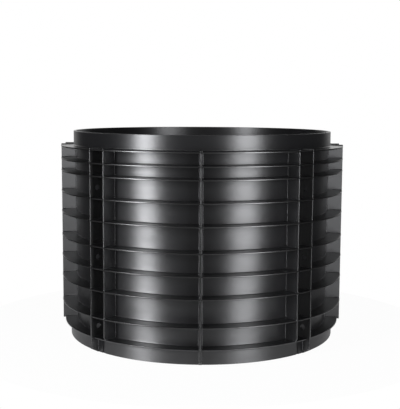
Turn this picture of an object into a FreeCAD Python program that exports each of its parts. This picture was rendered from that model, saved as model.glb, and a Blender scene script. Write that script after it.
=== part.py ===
"""Manhole riser ring: one injection-moulded ring with encircling flanges and radial ribs.

The frame has +Z up along the bore, the origin at the middle of the foot of the socket collar,
and -Y towards the front rib.  Azimuths are counted from -Y, growing towards +X.
Every length is in millimetres and every angle in degrees.
"""
import FreeCAD, Part
import math
import os

Vector = FreeCAD.Vector

# Ring wall
BORE_RADIUS = 305.0          # clear opening
WALL_THICKNESS = 6.0
RIB_DEPTH = 36.0             # how far flanges and ribs stand out of the wall

# Spigot on top, which the socket of the next ring goes over
SPIGOT_RECESS = 5.5          # the bore widens by this inside the spigot
SPIGOT_THICKNESS = 6.0
SPIGOT_ENGAGEMENT = 32.0     # spigot height above the rib tops, on which the next ring stands

# Socket collar at the foot
SOCKET_CLEARANCE = 3.5       # radial gap between spigot and socket, where a seal goes
SOCKET_END_GAP = 1.5         # left above a spigot that is fully home
COLLAR_THICKNESS = 7.0

# Flanges: the lowest roofs the socket, and a cell is the distance between two middle planes
FLANGE_ROOT_THICKNESS = 4.0
FLANGE_TIP_THICKNESS = 3.0
FOOT_FLANGE_SETBACK = 6.0    # the lowest flange stands out less than the others
CELL = 50.0
LOCK_CELL = 62.5
MIDDLE_CELL = 57.5
LOW_NECK_CELL = 28.5
HIGH_NECK_CELL = 30.0
CELLS = (CELL, LOCK_CELL, CELL, CELL, MIDDLE_CELL, CELL, CELL, LOW_NECK_CELL, HIGH_NECK_CELL)

# Ribs: one at the front and back, a pair at each quarter, and a fin each side of both flanks
RIB_TIP_THICKNESS = 3.5
RIB_ROOT_THICKNESS = 4.5
MIDDLE_RIB_TIP_THICKNESS = 4.0   # the front and back ribs are stouter
MIDDLE_RIB_ROOT_THICKNESS = 8.0
RIB_STAND = 2.0              # rib tops above the top flange
PAIR_ANGLE = 42.35           # from the front or back rib to the middle of a pair
PAIR_HALF_SPREAD = 3.7
FLANK_HALF_SPREAD = 5.3      # from the flank to each of its fins
FIN_DROP = 8.0               # the fins end this far under the middle of the lowest flange
TOE_HEIGHT = 10.0            # below this a long rib is cut back to the collar
HEEL_HEIGHT = 8.0            # above the lowest flange, where a short rib is cut back to its edge

# Tie holes through the outer rib of each pair, as (cell, distance above its middle)
TIE_HOLE_RADIUS = 6.5
TIE_HOLE_OFFSET = 15.0       # hole centre outside the wall
TIE_HOLES = ((0, 0.0), (3, -2.0), (6, -2.0))

# Key groove down the collar between the ribs of each pair
KEY_WIDTH = 8.0
KEY_DEPTH = 2.0

# Edges
EDGE_ROUND = 0.8
ROOT_FILLET = 2.0

wall_radius = BORE_RADIUS + WALL_THICKNESS
outer_radius = wall_radius + RIB_DEPTH
spigot_inner_radius = BORE_RADIUS + SPIGOT_RECESS
spigot_radius = spigot_inner_radius + SPIGOT_THICKNESS
socket_radius = spigot_radius + SOCKET_CLEARANCE
collar_radius = socket_radius + COLLAR_THICKNESS
foot_flange_radius = outer_radius - FOOT_FLANGE_SETBACK
socket_depth = SPIGOT_ENGAGEMENT + SOCKET_END_GAP

flange_heights = [socket_depth + FLANGE_ROOT_THICKNESS / 2]
for cell in CELLS:
    flange_heights.append(flange_heights[-1] + cell)
seat_height = flange_heights[-1] + FLANGE_ROOT_THICKNESS / 2
rib_top = seat_height + RIB_STAND
ring_height = rib_top + SPIGOT_ENGAGEMENT


def rounded_face(corners, up):
    """A flat face from corners (x, height along up, radius), each cut by an arc of its radius."""
    points = [Vector(x, 0, 0) + up * height for x, height, radius in corners]
    starts, middles, ends = [], [], []
    for i, (x, height, radius) in enumerate(corners):
        back = (points[i - 1] - points[i]).normalize()
        forth = (points[(i + 1) % len(points)] - points[i]).normalize()
        half_angle = back.getAngle(forth) / 2
        reach = radius / math.tan(half_angle)
        inset = radius / math.sin(half_angle) - radius
        starts.append(points[i] + back * reach)
        middles.append(points[i] + (back + forth).normalize() * inset)
        ends.append(points[i] + forth * reach)
    edges = []
    for i in range(len(corners)):
        if corners[i][2] > 0:
            edges.append(Part.Arc(starts[i], middles[i], ends[i]).toShape())
        edges.append(Part.LineSegment(ends[i], starts[(i + 1) % len(corners)]).toShape())
    return Part.Face(Part.Wire(edges))


def flange_corners(height, tip_radius, low_root=wall_radius, high_root=wall_radius):
    """The corners of one flange, going up: lower root, two tips, upper root."""
    root_half = FLANGE_ROOT_THICKNESS / 2
    tip_half = FLANGE_TIP_THICKNESS / 2
    return [
        (low_root, height - root_half, ROOT_FILLET),
        (tip_radius, height - tip_half, EDGE_ROUND),
        (tip_radius, height + tip_half, EDGE_ROUND),
        (high_root, height + root_half, ROOT_FILLET),
    ]


def turned_ring():
    """Socket collar, wall with its flanges, and spigot, as one turned section."""
    corners = [(socket_radius, 0, EDGE_ROUND), (collar_radius, 0, EDGE_ROUND)]
    corners += flange_corners(flange_heights[0], foot_flange_radius, low_root=collar_radius)
    for height in flange_heights[1:-1]:
        corners += flange_corners(height, outer_radius)
    corners += flange_corners(flange_heights[-1], outer_radius, high_root=spigot_radius)
    corners += [
        (spigot_radius, ring_height, EDGE_ROUND),
        (spigot_inner_radius, ring_height, EDGE_ROUND),
        (spigot_inner_radius, seat_height, ROOT_FILLET),
        (BORE_RADIUS, seat_height, EDGE_ROUND),
        (BORE_RADIUS, socket_depth, EDGE_ROUND),
        (socket_radius, socket_depth, ROOT_FILLET),
    ]
    section = rounded_face(corners, Vector(0, 0, 1))
    return section.revolve(Vector(0, 0, 0), Vector(0, 0, 1), 360)


def rib_outline(foot, foot_radius, toe):
    """The side view of a rib: down the middle of the ring's walls, out to foot_radius at its foot,
    sloping out to the full radius at the toe height, and up along its outer edge.
    """
    collar_middle = (socket_radius + collar_radius) / 2
    wall_middle = (BORE_RADIUS + wall_radius) / 2
    spigot_middle = (spigot_inner_radius + spigot_radius) / 2
    inner = [
        (spigot_middle, rib_top, 0),
        (spigot_middle, flange_heights[-1], 0),
        (wall_middle, flange_heights[-1], 0),
        (wall_middle, flange_heights[0], 0),
    ]
    if foot < flange_heights[0]:
        inner += [(collar_middle, flange_heights[0], 0), (collar_middle, foot, 0)]
    if foot_radius < outer_radius:
        inner.append((foot_radius, foot, 0))
    return inner + [(outer_radius, toe, 0), (outer_radius, rib_top, EDGE_ROUND)]


def rib(azimuth, tip, root, side_view, hole_heights=()):
    """One rib, thinning from root thickness to a rounded tip, with any tie holes through it."""
    slope = (root - tip) / 2 / RIB_DEPTH
    inner_half = tip / 2 + slope * (outer_radius - BORE_RADIUS)
    tip_half = tip / 2
    plan = rounded_face(
        [
            (BORE_RADIUS, -inner_half, 0),
            (outer_radius, -tip_half, EDGE_ROUND),
            (outer_radius, tip_half, EDGE_ROUND),
            (BORE_RADIUS, inner_half, 0),
        ],
        Vector(0, 1, 0),
    )
    side = rounded_face(side_view, Vector(0, 0, 1))
    side.translate(Vector(0, -root, 0))
    plate = plan.extrude(Vector(0, 0, ring_height))
    plate = plate.common(side.extrude(Vector(0, 2 * root, 0)))
    for height in hole_heights:
        start = Vector(wall_radius + TIE_HOLE_OFFSET, -root, height)
        plate = plate.cut(Part.makeCylinder(TIE_HOLE_RADIUS, 2 * root, start, Vector(0, 1, 0)))
    plate.rotate(Vector(0, 0, 0), Vector(0, 0, 1), azimuth - 90)
    return plate


def all_ribs():
    """Front and back ribs, the four pairs and the four fins, alike left to right and front to back."""
    heel = flange_heights[0]
    fin_foot = heel - FIN_DROP
    hole_heights = []
    for cell_number, rise in TIE_HOLES:
        middle = (flange_heights[cell_number] + flange_heights[cell_number + 1]) / 2
        hole_heights.append(middle + rise)
    long_rib = rib_outline(0, collar_radius, TOE_HEIGHT)
    short_rib = rib_outline(heel, foot_flange_radius, heel + HEEL_HEIGHT)
    fin = rib_outline(fin_foot, outer_radius, fin_foot)
    tip, root = RIB_TIP_THICKNESS, RIB_ROOT_THICKNESS
    ribs = []
    for middle in (0, 180):
        ribs.append(rib(middle, MIDDLE_RIB_TIP_THICKNESS, MIDDLE_RIB_ROOT_THICKNESS, long_rib))
        for side in (-1, 1):
            inner_angle = middle + side * (PAIR_ANGLE - PAIR_HALF_SPREAD)
            outer_angle = middle + side * (PAIR_ANGLE + PAIR_HALF_SPREAD)
            fin_angle = middle + side * (90 - FLANK_HALF_SPREAD)
            ribs.append(rib(inner_angle, tip, root, short_rib))
            ribs.append(rib(outer_angle, tip, root, long_rib, hole_heights))
            ribs.append(rib(fin_angle, tip, root, fin))
    return ribs


def key_grooves():
    """The shallow grooves down the outside of the collar, one in the middle of each pair."""
    grooves = []
    for middle in (0, 180):
        for side in (-1, 1):
            groove = Part.makeBox(
                COLLAR_THICKNESS,
                KEY_WIDTH,
                flange_heights[0] - FLANGE_ROOT_THICKNESS / 2 - ROOT_FILLET,
                Vector(collar_radius - KEY_DEPTH, -KEY_WIDTH / 2, 0),
            )
            groove.rotate(Vector(0, 0, 0), Vector(0, 0, 1), middle + side * PAIR_ANGLE - 90)
            grooves.append(groove)
    return grooves


os.makedirs("parts", exist_ok=True)
riser_ring = turned_ring().fuse(all_ribs()).cut(key_grooves()).removeSplitter()
print("riser_ring", len(riser_ring.Solids), riser_ring.isValid(), riser_ring.Volume)
riser_ring.Solids[0].exportStep("parts/riser_ring.step")
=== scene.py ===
"""Looks of the manhole riser ring: one black moulded ring on a white studio sweep."""
import math

import bpy
import numpy as np
from mathutils import Euler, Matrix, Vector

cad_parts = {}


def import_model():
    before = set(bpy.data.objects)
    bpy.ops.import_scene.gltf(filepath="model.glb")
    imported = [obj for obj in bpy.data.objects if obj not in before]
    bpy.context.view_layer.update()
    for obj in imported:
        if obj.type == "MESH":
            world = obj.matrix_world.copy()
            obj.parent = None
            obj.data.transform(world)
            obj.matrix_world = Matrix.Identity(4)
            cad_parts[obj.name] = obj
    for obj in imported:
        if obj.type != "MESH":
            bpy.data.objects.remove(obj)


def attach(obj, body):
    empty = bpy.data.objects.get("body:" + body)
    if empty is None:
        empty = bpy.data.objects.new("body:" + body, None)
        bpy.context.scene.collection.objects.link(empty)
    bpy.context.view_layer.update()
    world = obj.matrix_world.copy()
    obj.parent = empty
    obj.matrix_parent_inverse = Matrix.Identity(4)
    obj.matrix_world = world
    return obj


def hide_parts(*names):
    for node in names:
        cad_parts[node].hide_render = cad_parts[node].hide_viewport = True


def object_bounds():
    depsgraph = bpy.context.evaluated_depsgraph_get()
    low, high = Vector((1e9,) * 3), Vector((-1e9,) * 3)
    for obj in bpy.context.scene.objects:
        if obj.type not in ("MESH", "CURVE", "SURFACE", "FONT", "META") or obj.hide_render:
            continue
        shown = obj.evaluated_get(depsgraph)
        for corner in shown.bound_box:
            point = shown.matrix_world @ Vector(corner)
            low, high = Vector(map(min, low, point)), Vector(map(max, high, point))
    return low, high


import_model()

cad_low, cad_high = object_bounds()

# Sizes of the ring, in metres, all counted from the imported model's box
OUTER_RADIUS = cad_high.y
RING_HEIGHT = cad_high.z
RIB_DEPTH = 0.036
WALL_RADIUS = OUTER_RADIUS - RIB_DEPTH
BORE_RADIUS = WALL_RADIUS - 0.006
SPIGOT_INNER = BORE_RADIUS + 0.0055
SPIGOT_RADIUS = SPIGOT_INNER + 0.006
SOCKET_RADIUS = SPIGOT_RADIUS + 0.0035
COLLAR_RADIUS = SOCKET_RADIUS + 0.007
SOCKET_DEPTH = 0.0335

FLANGE_ROOT_HALF = 0.002
FLANGE_TIP_HALF = 0.0015
FOOT_FLANGE_RADIUS = OUTER_RADIUS - 0.006
CELLS = np.array([50.0, 62.5, 50.0, 50.0, 57.5, 50.0, 50.0, 28.5, 30.0]) / 1000
FLANGE_HEIGHTS = SOCKET_DEPTH + FLANGE_ROOT_HALF + np.concatenate([[0.0], np.cumsum(CELLS)])
SEAT_HEIGHT = FLANGE_HEIGHTS[-1] + FLANGE_ROOT_HALF

RIB_HALVES = (0.00175, 0.00225)         # half thickness at the tip and at the root
MIDDLE_RIB_HALVES = (0.002, 0.004)      # the same for the front and back ribs
RIB_FILLET = 0.0008
RIB_TOP = SEAT_HEIGHT + 0.002
PAIR_ANGLE = 42.35
PAIR_HALF_SPREAD = 3.7
FLANK_HALF_SPREAD = 5.3
TOE_HEIGHT = 0.010
HEEL_HEIGHT = 0.008
FIN_DROP = 0.008

HOLE_RADIUS = 0.0065
HOLE_OFFSET = 0.015
HOLE_PLACES = ((0, 0.0), (3, -0.002), (6, -0.002))
KEY_WIDTH = 0.008
KEY_DEPTH = 0.002

EDGE_ROUND = 0.0008
ROOT_FILLET = 0.002
RING_STEPS = 324

# Plastic: roughness of each part, and how far the smooth parts' lobe is stretched
WALL_ROUGHNESS = 0.41
RELIEF_ROUGHNESS = 0.29
FIN_ROUGHNESS = 0.52
EDGE_ROUGHNESS = 0.3
LINE_ROUGHNESS = 0.05
CLOUD_ROUGHNESS = 0.06
STRETCH = 0.8
QUARTER_TURN = 0.25
PLASTIC_BLACK = (0.007, 0.007, 0.0076, 1)
# The darker black below, on the outer edges of flanges and ribs, is painted shade.
EDGE_PAINTED_SHADE_BLACK = (0.0025, 0.0025, 0.0025, 1)
# The greyer black below, on the sides of the outer ribs and fins, is painted light.
SIDE_PAINTED_LIGHT_GREY = (0.028, 0.028, 0.028, 1)

# Patterns: how many features to the metre along X, Y and Z, and their height in metres
FINE_LINES = (4, 4, 700)
LINE_HEIGHT = 0.0004
SLOW_WAVES = (12, 12, 35)
WAVE_HEIGHT = 0.0007
CLOUD_SCALE = 9.0

# Where the distance from the front-to-back plane, as a share of the radius, tells ribs apart
PAIR_ASIDE = math.sin(math.radians(PAIR_ANGLE))
PAIR_BLEND = 0.02
FIN_ASIDE = 0.95
FIN_BLEND = 0.05

# Where a rib's side begins and is full, by how far its normal turns sideways, from 0 to 1
SIDE_FACING = (0.7, 0.95)

# Studio: the table top, the softboxes' tint, and the room's levels, where 1 is white
FLOOR_REACH = 0.6
FLOOR_LIFT = 0.97
MIRRORED_SHARE = 0.35
FLOOR_WHITE = (0.9, 0.9, 0.9, 1)
SOFTBOX_TINT = (0.96, 0.97, 1.0)
SIDE_LEVEL = 0.04
FRONT_LEVEL = 0.13
LOW_BACK_LEVEL = 0.35


def grid_mesh(name, points, caps=False):
    """A mesh from points[i, j], joined in quads and closed round both ways.

    With caps the grid is open along i, and its first and last rows are each filled by one face.
    """
    rows, columns = points.shape[:2]
    i = np.arange(rows - 1 if caps else rows)[:, None]
    j = np.arange(columns)[None, :]
    after_i = (i + 1) % rows
    after_j = (j + 1) % columns
    corners = [
        i * columns + j,
        after_i * columns + j,
        after_i * columns + after_j,
        i * columns + after_j,
    ]
    faces = np.stack(np.broadcast_arrays(*corners), axis=-1).reshape(-1, 4).tolist()
    if caps:
        faces.append(list(range(columns)))
        faces.append(list(range(rows * columns - 1, (rows - 1) * columns - 1, -1)))
    mesh = bpy.data.meshes.new(name)
    mesh.from_pydata(points.reshape(-1, 3).tolist(), [], faces)
    piece = bpy.data.objects.new(name, mesh)
    bpy.context.scene.collection.objects.link(piece)
    return piece


def rounded_outline(corners, steps=3):
    """Points of a closed outline whose corner (x, z, radius) is an arc of that radius.

    The arc's centre lies on the corner's bisector at radius / sin(half angle), and the arc sweeps
    evenly between the two points where it touches the sides.
    """
    table = np.array(corners, dtype=float)
    here = table[:, :2]
    back = np.roll(here, 1, axis=0) - here
    forth = np.roll(here, -1, axis=0) - here
    back /= np.linalg.norm(back, axis=1, keepdims=True)
    forth /= np.linalg.norm(forth, axis=1, keepdims=True)
    half = np.arccos(np.clip((back * forth).sum(axis=1), -1, 1)) / 2
    middle = back + forth
    middle /= np.linalg.norm(middle, axis=1, keepdims=True)
    centre = here + middle * (table[:, 2] / np.sin(half))[:, None]
    outline = []
    for k, radius in enumerate(table[:, 2]):
        start = here[k] + back[k] * radius / math.tan(half[k]) - centre[k]
        end = here[k] + forth[k] * radius / math.tan(half[k]) - centre[k]
        sweep = math.pi - 2 * half[k]
        share = np.linspace(0, 1, steps + 1)[:, None]
        arc = (np.sin((1 - share) * sweep) * start + np.sin(share * sweep) * end) / math.sin(sweep)
        outline.append(centre[k] + arc)
    return np.concatenate(outline)


def flange_corners(height, tip, low_root=WALL_RADIUS, high_root=WALL_RADIUS):
    """Corners of one flange, going up: lower root, two tips, upper root."""
    return [
        (low_root, height - FLANGE_ROOT_HALF, ROOT_FILLET),
        (tip, height - FLANGE_TIP_HALF, EDGE_ROUND),
        (tip, height + FLANGE_TIP_HALF, EDGE_ROUND),
        (high_root, height + FLANGE_ROOT_HALF, ROOT_FILLET),
    ]


def turned_ring():
    """The ring without ribs: its section swept round Z.

    A point of the section at radius r and height z goes to (r sin a, -r cos a, z) at azimuth a.
    """
    corners = [(SOCKET_RADIUS, 0, EDGE_ROUND), (COLLAR_RADIUS, 0, EDGE_ROUND)]
    corners += flange_corners(FLANGE_HEIGHTS[0], FOOT_FLANGE_RADIUS, low_root=COLLAR_RADIUS)
    for height in FLANGE_HEIGHTS[1:-1]:
        corners += flange_corners(height, OUTER_RADIUS)
    corners += flange_corners(FLANGE_HEIGHTS[-1], OUTER_RADIUS, high_root=SPIGOT_RADIUS)
    corners += [
        (SPIGOT_RADIUS, RING_HEIGHT, EDGE_ROUND),
        (SPIGOT_INNER, RING_HEIGHT, EDGE_ROUND),
        (SPIGOT_INNER, SEAT_HEIGHT, ROOT_FILLET),
        (BORE_RADIUS, SEAT_HEIGHT, EDGE_ROUND),
        (BORE_RADIUS, SOCKET_DEPTH, EDGE_ROUND),
        (SOCKET_RADIUS, SOCKET_DEPTH, ROOT_FILLET),
    ]
    section = rounded_outline(corners)
    azimuth = np.linspace(0, 2 * np.pi, RING_STEPS, endpoint=False)[:, None]
    radius = section[None, :, 0]
    height = np.broadcast_to(section[None, :, 1], (RING_STEPS, len(section)))
    points = np.stack([radius * np.sin(azimuth), -radius * np.cos(azimuth), height], axis=-1)
    return grid_mesh("ring", points)


def flare(distance):
    """How far a root fillet stands out of a face at this distance from the wall it meets.

    It is a quarter circle: radius less the root of radius squared less (radius - distance) squared.
    """
    short = np.clip(RIB_FILLET - distance, 0, RIB_FILLET)
    return RIB_FILLET - np.sqrt(RIB_FILLET**2 - short**2)


def rib_levels(foot, toe):
    """Heights of a rib's cross-sections: close together beside each flange and at the toe."""
    steps = FLANGE_TIP_HALF + np.array([0.0, 0.0001, 0.0003, 0.0005, 0.0006, 0.0008, 0.001, 0.0013])
    levels = (FLANGE_HEIGHTS[:, None] + np.concatenate([-steps, steps])[None, :]).ravel()
    levels = np.unique(np.round(np.concatenate([[foot, toe], levels]), 7))
    return levels[(levels >= foot) & (levels < SEAT_HEIGHT)]


def rib(azimuth, halves, foot, foot_radius, toe):
    """One rib: a closed cross-section carried up from foot to the rib top.

    At each height the section's half width falls evenly from root to tip, widens by the flare
    beside the wall and beside each flange, and is rounded at the tip and at the top.  The tip's
    radius grows evenly from foot_radius at the foot to the full radius at the toe.
    """
    levels = rib_levels(foot, toe)
    crown = np.linspace(0, np.pi / 2, 4)
    top_in = EDGE_ROUND * (1 - np.cos(crown))
    heights = np.concatenate([levels, RIB_TOP - EDGE_ROUND + EDGE_ROUND * np.sin(crown)])
    inset = np.concatenate([np.zeros(len(levels)), top_in])[:, None]
    z = heights[:, None]

    face = np.where(z < FLANGE_HEIGHTS[0], COLLAR_RADIUS, WALL_RADIUS)
    face = np.where(z > FLANGE_HEIGHTS[-1], SPIGOT_RADIUS, face)
    rise = np.clip((z - foot) / max(toe - foot, RIB_FILLET), 0, 1)
    tip = foot_radius + (OUTER_RADIUS - foot_radius) * rise
    room = np.clip((tip - face) / (2 * RIB_FILLET + EDGE_ROUND), 0, 1)

    out = RIB_FILLET * np.array([[-3.0, 0.0, 0.07, 0.25, 0.55, 1.0]])
    turn = np.linspace(0, np.pi / 2, 4)[None, :]
    near_wall = face + out * room
    near_tip = tip - EDGE_ROUND * room * (1 - np.sin(turn)) - inset
    radius = np.concatenate([near_wall, near_tip], axis=1)
    depth = (OUTER_RADIUS - radius) / RIB_DEPTH
    half = halves[0] + (halves[1] - halves[0]) * depth
    half = half + flare(np.abs(radius - face)) * room
    flange_half = FLANGE_TIP_HALF + (FLANGE_ROOT_HALF - FLANGE_TIP_HALF) * depth
    gap = np.abs(z - FLANGE_HEIGHTS[None, :]).min(axis=1, keepdims=True) - flange_half
    half = half + flare(np.clip(gap, 0, None))
    corner = np.concatenate([np.zeros((1, 6)), EDGE_ROUND * (1 - np.cos(turn))], axis=1)
    half = half - corner - inset

    loop_radius = np.concatenate([radius, radius[:, ::-1]], axis=1)
    loop_side = np.concatenate([half, -half[:, ::-1]], axis=1)
    angle = math.radians(azimuth)
    x = loop_radius * math.sin(angle) + loop_side * math.cos(angle)
    y = -loop_radius * math.cos(angle) + loop_side * math.sin(angle)
    points = np.stack([x, y, np.broadcast_to(z, x.shape)], axis=-1)
    return grid_mesh("rib", points, caps=True)


def peg(azimuth, height):
    """A round peg that reaches past both sides of a rib, to make a tie hole."""
    turn = np.linspace(0, 2 * np.pi, 40, endpoint=False)[None, :]
    side = np.array([[-0.008], [0.008]])
    radius = WALL_RADIUS + HOLE_OFFSET + HOLE_RADIUS * np.cos(turn) + 0 * side
    z = height + HOLE_RADIUS * np.sin(turn) + 0 * side
    side = side + 0 * turn
    angle = math.radians(azimuth)
    x = radius * math.sin(angle) + side * math.cos(angle)
    y = -radius * math.cos(angle) + side * math.sin(angle)
    return grid_mesh("peg", np.stack([x, y, z], axis=-1), caps=True)


def key_bar(azimuth):
    """A bar that cuts the key groove down the collar: a rectangle carried from foot to flange."""
    radius = COLLAR_RADIUS + np.array([[-KEY_DEPTH, 0.004, 0.004, -KEY_DEPTH]])
    side = KEY_WIDTH / 2 * np.array([[-1, -1, 1, 1]])
    z = np.array([[-0.001], [SOCKET_DEPTH - ROOT_FILLET]])
    angle = math.radians(azimuth)
    x = radius * math.sin(angle) + side * math.cos(angle) + 0 * z
    y = -radius * math.cos(angle) + side * math.sin(angle) + 0 * z
    return grid_mesh("key_bar", np.stack([x, y, z + 0 * x], axis=-1), caps=True)


def outward(piece):
    """Turns the piece's faces to point out, by the sign of its volume."""
    mesh = piece.data
    mesh.calc_loop_triangles()
    corners = np.empty(len(mesh.loop_triangles) * 3, dtype=np.int32)
    mesh.loop_triangles.foreach_get("vertices", corners)
    places = np.empty(len(mesh.vertices) * 3)
    mesh.vertices.foreach_get("co", places)
    a, b, c = places.reshape(-1, 3)[corners.reshape(-1, 3)].transpose(1, 0, 2)
    if (a * np.cross(b, c)).sum() < 0:
        mesh.flip_normals()


def settle(piece):
    """Puts the shape that the piece's modifiers make into its mesh, and clears them."""
    graph = bpy.context.evaluated_depsgraph_get()
    mesh = bpy.data.meshes.new_from_object(piece.evaluated_get(graph))
    piece.modifiers.clear()
    piece.data = mesh


def combine(base, pieces, operation):
    """Joins pieces to base or cuts them from it, one after another, and keeps only base."""
    for piece in pieces:
        outward(piece)
        step = base.modifiers.new(operation.lower(), "BOOLEAN")
        step.operation = operation
        step.solver = "MANIFOLD"
        step.object = piece
    settle(base)
    for piece in pieces:
        bpy.data.objects.remove(piece)


def moulding():
    """The whole moulded ring, ribs joined in and holes and grooves cut out."""
    ring = turned_ring()
    outward(ring)
    heel = FLANGE_HEIGHTS[0]
    long_rib = (0.0, COLLAR_RADIUS + 0.001, TOE_HEIGHT)
    short_rib = (heel, FOOT_FLANGE_RADIUS, heel + HEEL_HEIGHT)
    fin = (heel - FIN_DROP, OUTER_RADIUS, heel - FIN_DROP)
    ribs, pegs, bars = [], [], []
    for middle in (0, 180):
        ribs.append(rib(middle, MIDDLE_RIB_HALVES, *long_rib))
        for side in (-1, 1):
            outer_angle = middle + side * (PAIR_ANGLE + PAIR_HALF_SPREAD)
            ribs.append(rib(middle + side * (PAIR_ANGLE - PAIR_HALF_SPREAD), RIB_HALVES, *short_rib))
            ribs.append(rib(outer_angle, RIB_HALVES, *long_rib))
            ribs.append(rib(middle + side * (90 - FLANK_HALF_SPREAD), RIB_HALVES, *fin))
            bars.append(key_bar(middle + side * PAIR_ANGLE))
            for cell, rise in HOLE_PLACES:
                pegs.append(peg(outer_angle, FLANGE_HEIGHTS[cell : cell + 2].mean() + rise))
    combine(ring, ribs, "UNION")
    combine(ring, pegs + bars, "DIFFERENCE")
    ring.data.shade_smooth()
    ring.data.set_sharp_from_angle(angle=math.radians(40))
    weighted = ring.modifiers.new("even normals", "WEIGHTED_NORMAL")
    weighted.keep_sharp = True
    settle(ring)
    ring.name = "riser_ring_moulding"
    ring.data.name = "riser_ring_moulding"
    return ring


def node(tree, kind, **settings):
    """Adds a shader node and sets its properties and plain inputs."""
    made = tree.nodes.new(kind)
    for key, value in settings.items():
        if key in made.inputs:
            made.inputs[key].default_value = value
        else:
            setattr(made, key, value)
    return made


def maths(tree, operation, first, second=0.0, third=0.0):
    """A Math node on sockets or plain numbers, and its result."""
    made = tree.nodes.new("ShaderNodeMath")
    made.operation = operation
    for place, value in enumerate((first, second, third)):
        if isinstance(value, float):
            made.inputs[place].default_value = value
        else:
            tree.links.new(value, made.inputs[place])
    return made.outputs[0]


def step_up(tree, value, start, end):
    """Rises smoothly from 0 where value is start to 1 where it is end."""
    made = node(tree, "ShaderNodeMapRange", interpolation_type="SMOOTHSTEP")
    tree.links.new(value, made.inputs["Value"])
    made.inputs["From Min"].default_value = start
    made.inputs["From Max"].default_value = end
    return made.outputs["Result"]


def pattern(tree, place, scale, detail):
    """Noise on the piece's own coordinates; scale is one number, or one for each axis."""
    if isinstance(scale, float):
        noise = node(tree, "ShaderNodeTexNoise", Scale=scale, Detail=detail)
        tree.links.new(place, noise.inputs["Vector"])
        return noise.outputs["Fac"]
    stretched = node(tree, "ShaderNodeMapping", Scale=scale)
    tree.links.new(place, stretched.inputs["Vector"])
    noise = node(tree, "ShaderNodeTexNoise", Scale=1.0, Detail=detail)
    tree.links.new(stretched.outputs[0], noise.inputs["Vector"])
    return noise.outputs["Fac"]


def blend(tree, share, first, second):
    """First where share is 0 and second where it is 1; each is a colour or a socket."""
    made = node(tree, "ShaderNodeMix", data_type="RGBA")
    tree.links.new(share, made.inputs[0])
    for socket, value in ((made.inputs[6], first), (made.inputs[7], second)):
        if isinstance(value, tuple):
            socket.default_value = value
        else:
            tree.links.new(value, socket)
    return made.outputs[2]


def relief_share(tree, radius, height):
    """1 on the flanges and ribs, and 0 on the wall, collar and spigot."""
    off_wall = step_up(tree, radius, WALL_RADIUS + 0.0015, WALL_RADIUS + 0.004)
    off_collar = step_up(tree, height, SOCKET_DEPTH, SOCKET_DEPTH + 0.002)
    off_spigot = step_up(tree, height, RIB_TOP + 0.001, RIB_TOP)
    return maths(tree, "MULTIPLY", maths(tree, "MULTIPLY", off_wall, off_collar), off_spigot)


def rib_side_share(tree, apart, radius):
    """1 where the normal N turns sideways: the size of (x Ny - y Nx) / radius is near 1."""
    facing = node(tree, "ShaderNodeSeparateXYZ")
    tree.links.new(node(tree, "ShaderNodeNewGeometry").outputs["Normal"], facing.inputs[0])
    y_by_nx = maths(tree, "MULTIPLY", apart.outputs["Y"], facing.outputs["X"])
    x_by_ny = maths(tree, "MULTIPLY", apart.outputs["X"], facing.outputs["Y"])
    sideways = maths(tree, "DIVIDE", maths(tree, "SUBTRACT", x_by_ny, y_by_nx), radius)
    return step_up(tree, maths(tree, "ABSOLUTE", sideways), *SIDE_FACING)


def grain_direction(tree, apart, radius, fin_side):
    """The tangent of the stretched lobe: round the ring, (-y, x, 0) / radius, but +Z on the fins."""
    level_share = maths(tree, "DIVIDE", maths(tree, "SUBTRACT", 1.0, fin_side), radius)
    minus_y = maths(tree, "MULTIPLY", apart.outputs["Y"], -1.0)
    tangent = node(tree, "ShaderNodeCombineXYZ")
    tree.links.new(maths(tree, "MULTIPLY", minus_y, level_share), tangent.inputs["X"])
    tree.links.new(maths(tree, "MULTIPLY", apart.outputs["X"], level_share), tangent.inputs["Y"])
    tree.links.new(fin_side, tangent.inputs["Z"])
    return tangent.outputs[0]


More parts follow.
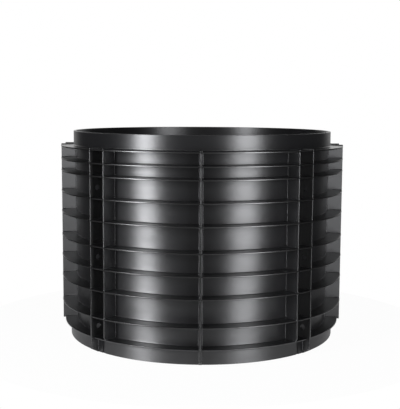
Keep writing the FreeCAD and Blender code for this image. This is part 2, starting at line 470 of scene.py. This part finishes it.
def black_plastic():
    """Black polypropylene as moulded, polished up and down the wall and plainer on the ribs.

    The lobe is stretched upright on the wall, collar and spigot, and even on flanges and ribs,
    whose outer edges are painted darker as painted shade.  Painted light makes the sides of the
    outer ribs and fins a little greyer, and the fins' sides are brushed up and down, so their
    lobe is stretched level.  Fine lines run round the ring, and slow waves make the gloss of
    the smooth parts uneven.
    """
    material = bpy.data.materials.new("black_polypropylene")
    material.use_nodes = True
    tree = material.node_tree
    shader = tree.nodes["Principled BSDF"]
    shader.inputs["IOR"].default_value = 1.5
    shader.inputs["Specular IOR Level"].default_value = 1.0
    shader.inputs["Anisotropic Rotation"].default_value = QUARTER_TURN

    # Where a point of the surface is
    place = node(tree, "ShaderNodeTexCoord").outputs["Object"]
    apart = node(tree, "ShaderNodeSeparateXYZ")
    tree.links.new(place, apart.inputs[0])
    across = maths(tree, "MULTIPLY", apart.outputs["Y"], apart.outputs["Y"])
    across = maths(tree, "MULTIPLY_ADD", apart.outputs["X"], apart.outputs["X"], across)
    radius = maths(tree, "SQRT", across)
    aside = maths(tree, "DIVIDE", maths(tree, "ABSOLUTE", apart.outputs["X"]), radius)

    # Which part of the moulding it belongs to
    relief = relief_share(tree, radius, apart.outputs["Z"])
    smooth = maths(tree, "SUBTRACT", 1.0, relief)
    edge = step_up(tree, radius, OUTER_RADIUS - 0.0012, OUTER_RADIUS - EDGE_ROUND)
    rib_side = maths(tree, "MULTIPLY", rib_side_share(tree, apart, radius), relief)
    # The sides of the outer ribs and fins, which painted light makes greyer
    past_pair = step_up(tree, aside, PAIR_ASIDE - PAIR_BLEND, PAIR_ASIDE + PAIR_BLEND)
    painted_light_side = maths(tree, "MULTIPLY", rib_side, past_pair)
    past_fins = step_up(tree, aside, FIN_ASIDE - FIN_BLEND, FIN_ASIDE)
    fin_side = maths(tree, "MULTIPLY", rib_side, past_fins)

    lines = pattern(tree, place, FINE_LINES, 3.0)
    clouds = pattern(tree, place, CLOUD_SCALE, 3.0)
    waves = pattern(tree, place, SLOW_WAVES, 2.0)

    # Roughness: a level for each part, varied either way by the lines and clouds
    rough = WALL_ROUGHNESS - (LINE_ROUGHNESS + CLOUD_ROUGHNESS) / 2
    rough = maths(tree, "MULTIPLY_ADD", relief, RELIEF_ROUGHNESS - WALL_ROUGHNESS, rough)
    rough = maths(tree, "MULTIPLY_ADD", fin_side, FIN_ROUGHNESS - RELIEF_ROUGHNESS, rough)
    rough = maths(tree, "MULTIPLY_ADD", edge, EDGE_ROUGHNESS - RELIEF_ROUGHNESS, rough)
    rough = maths(tree, "MULTIPLY_ADD", lines, LINE_ROUGHNESS, rough)
    rough = maths(tree, "MULTIPLY_ADD", clouds, CLOUD_ROUGHNESS, rough)
    tree.links.new(rough, shader.inputs["Roughness"])

    grain = maths(tree, "MAXIMUM", smooth, fin_side)
    tree.links.new(maths(tree, "MULTIPLY", grain, STRETCH), shader.inputs["Anisotropic"])
    tree.links.new(grain_direction(tree, apart, radius, fin_side), shader.inputs["Tangent"])

    # Painted shade: the outer edges of flanges and ribs are painted a darker black.
    colour = blend(tree, edge, PLASTIC_BLACK, EDGE_PAINTED_SHADE_BLACK)
    # Painted light: the sides of the outer ribs and fins are painted a lighter grey.
    colour = blend(tree, painted_light_side, colour, SIDE_PAINTED_LIGHT_GREY)
    tree.links.new(colour, shader.inputs["Base Color"])

    swell = node(tree, "ShaderNodeBump", Distance=WAVE_HEIGHT)
    tree.links.new(waves, swell.inputs["Height"])
    tree.links.new(smooth, swell.inputs["Strength"])
    bump = node(tree, "ShaderNodeBump", Strength=0.25, Distance=LINE_HEIGHT)
    tree.links.new(swell.outputs[0], bump.inputs["Normal"])
    tree.links.new(lines, bump.inputs["Height"])
    tree.links.new(bump.outputs[0], shader.inputs["Normal"])
    return material


def studio_white():
    """Matt white under the ring, lifted to the backdrop's white where it is seen or mirrored."""
    material = bpy.data.materials.new("studio_white")
    material.use_nodes = True
    tree = material.node_tree
    tree.nodes.clear()
    matt = node(tree, "ShaderNodeBsdfDiffuse", Color=FLOOR_WHITE)
    glow = node(tree, "ShaderNodeEmission", Color=(1, 1, 1, 1), Strength=1.0)
    path = node(tree, "ShaderNodeLightPath")
    mix = node(tree, "ShaderNodeMixShader")
    output = node(tree, "ShaderNodeOutputMaterial")
    mirrored = maths(tree, "MULTIPLY", path.outputs["Is Glossy Ray"], MIRRORED_SHARE)
    seen = maths(tree, "MAXIMUM", path.outputs["Is Camera Ray"], path.outputs["Is Transmission Ray"])
    seen = maths(tree, "MAXIMUM", seen, mirrored)
    tree.links.new(maths(tree, "MULTIPLY", seen, FLOOR_LIFT), mix.inputs[0])
    tree.links.new(matt.outputs[0], mix.inputs[1])
    tree.links.new(glow.outputs[0], mix.inputs[2])
    tree.links.new(mix.outputs[0], output.inputs[0])
    return material


def floor():
    """A flat round table top under the ring."""
    angle = np.linspace(0, 2 * np.pi, 96, endpoint=False)
    rim = np.stack([FLOOR_REACH * np.cos(angle), FLOOR_REACH * np.sin(angle), 0 * angle], axis=-1)
    mesh = bpy.data.meshes.new("floor")
    mesh.from_pydata(rim.tolist(), [], [list(range(len(angle)))])
    piece = bpy.data.objects.new("floor", mesh)
    bpy.context.scene.collection.objects.link(piece)
    piece.data.materials.append(studio_white())


def softbox(name, azimuth, distance, width, radiance, low, high):
    """An upright area light round the ring, facing its axis; power is radiance by area by pi."""
    data = bpy.data.lights.new(name, "AREA")
    data.shape = "RECTANGLE"
    data.color = SOFTBOX_TINT
    data.size = width
    data.size_y = high - low
    data.energy = radiance * math.pi * width * (high - low)
    lamp = bpy.data.objects.new(name, data)
    angle = math.radians(azimuth)
    lamp.location = (distance * math.sin(angle), -distance * math.cos(angle), (low + high) / 2)
    lamp.rotation_euler = (math.pi / 2, 0, angle)
    lamp.visible_camera = False
    bpy.context.scene.collection.objects.link(lamp)


def world():
    """White to the camera; as light, a backdrop behind the ring and a dim room elsewhere.

    The backdrop is white above the horizon and dimmer below it, and the room is a little lighter
    in front of the ring than at its sides.
    """
    made = bpy.data.worlds.new("studio")
    bpy.context.scene.world = made
    made.use_nodes = True
    tree = made.node_tree
    tree.nodes.clear()
    place = node(tree, "ShaderNodeTexCoord")
    apart = node(tree, "ShaderNodeSeparateXYZ")
    tree.links.new(place.outputs["Generated"], apart.inputs[0])
    behind = step_up(tree, apart.outputs["Y"], 0.7, 0.95)
    above = step_up(tree, apart.outputs["Z"], -0.02, 0.02)
    backdrop = maths(tree, "MULTIPLY_ADD", above, 1 - LOW_BACK_LEVEL, LOW_BACK_LEVEL)
    backdrop = maths(tree, "MULTIPLY", behind, backdrop)
    front = step_up(tree, apart.outputs["Y"], -0.3, -0.9)
    level = maths(tree, "MULTIPLY_ADD", front, FRONT_LEVEL - SIDE_LEVEL, SIDE_LEVEL)
    level = maths(tree, "MULTIPLY_ADD", backdrop, 1 - SIDE_LEVEL, level)
    path = node(tree, "ShaderNodeLightPath")
    level = maths(tree, "MAXIMUM", level, path.outputs["Is Camera Ray"])
    level = maths(tree, "MAXIMUM", level, path.outputs["Is Transmission Ray"])
    white = node(tree, "ShaderNodeBackground", Color=(1, 1, 1, 1))
    output = node(tree, "ShaderNodeOutputWorld")
    tree.links.new(level, white.inputs["Strength"])
    tree.links.new(white.outputs[0], output.inputs[0])


def camera():
    """Long lens in front of the ring, a little above its top rim and looking slightly down."""
    data = bpy.data.cameras.new("camera")
    data.sensor_width = 36
    data.lens = 77.41
    made = bpy.data.objects.new("camera", data)
    azimuth = math.radians(0.3)
    aim_aside = math.radians(0.116)
    pitch = math.radians(6.68)
    roll = math.radians(0.28)
    distance = 2.194
    made.location = (distance * math.sin(azimuth), -distance * math.cos(azimuth), 0.5715)
    turn = Euler((0, 0, azimuth + aim_aside)).to_matrix()
    turn = turn @ Euler((math.pi / 2 - pitch, 0, 0)).to_matrix() @ Euler((0, 0, roll)).to_matrix()
    made.rotation_euler = turn.to_euler()
    bpy.context.scene.collection.objects.link(made)
    bpy.context.scene.camera = made


ring = moulding()
ring.data.materials.clear()
ring.data.materials.append(black_plastic())
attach(ring, "root")
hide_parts("riser_ring")
print("triangles", sum(len(p.vertices) - 2 for p in ring.data.polygons))

floor()
world()
softbox("left", azimuth=-46, distance=2.2, width=0.54, radiance=24.8, low=0.0, high=1.3)
softbox("right_high", azimuth=36, distance=2.4, width=0.83, radiance=12.4, low=0.0, high=1.3)
softbox("right_low", azimuth=36, distance=2.4, width=0.83, radiance=5.2, low=-0.7, high=0.0)
camera()

bpy.context.scene.view_settings.view_transform = "Standard"
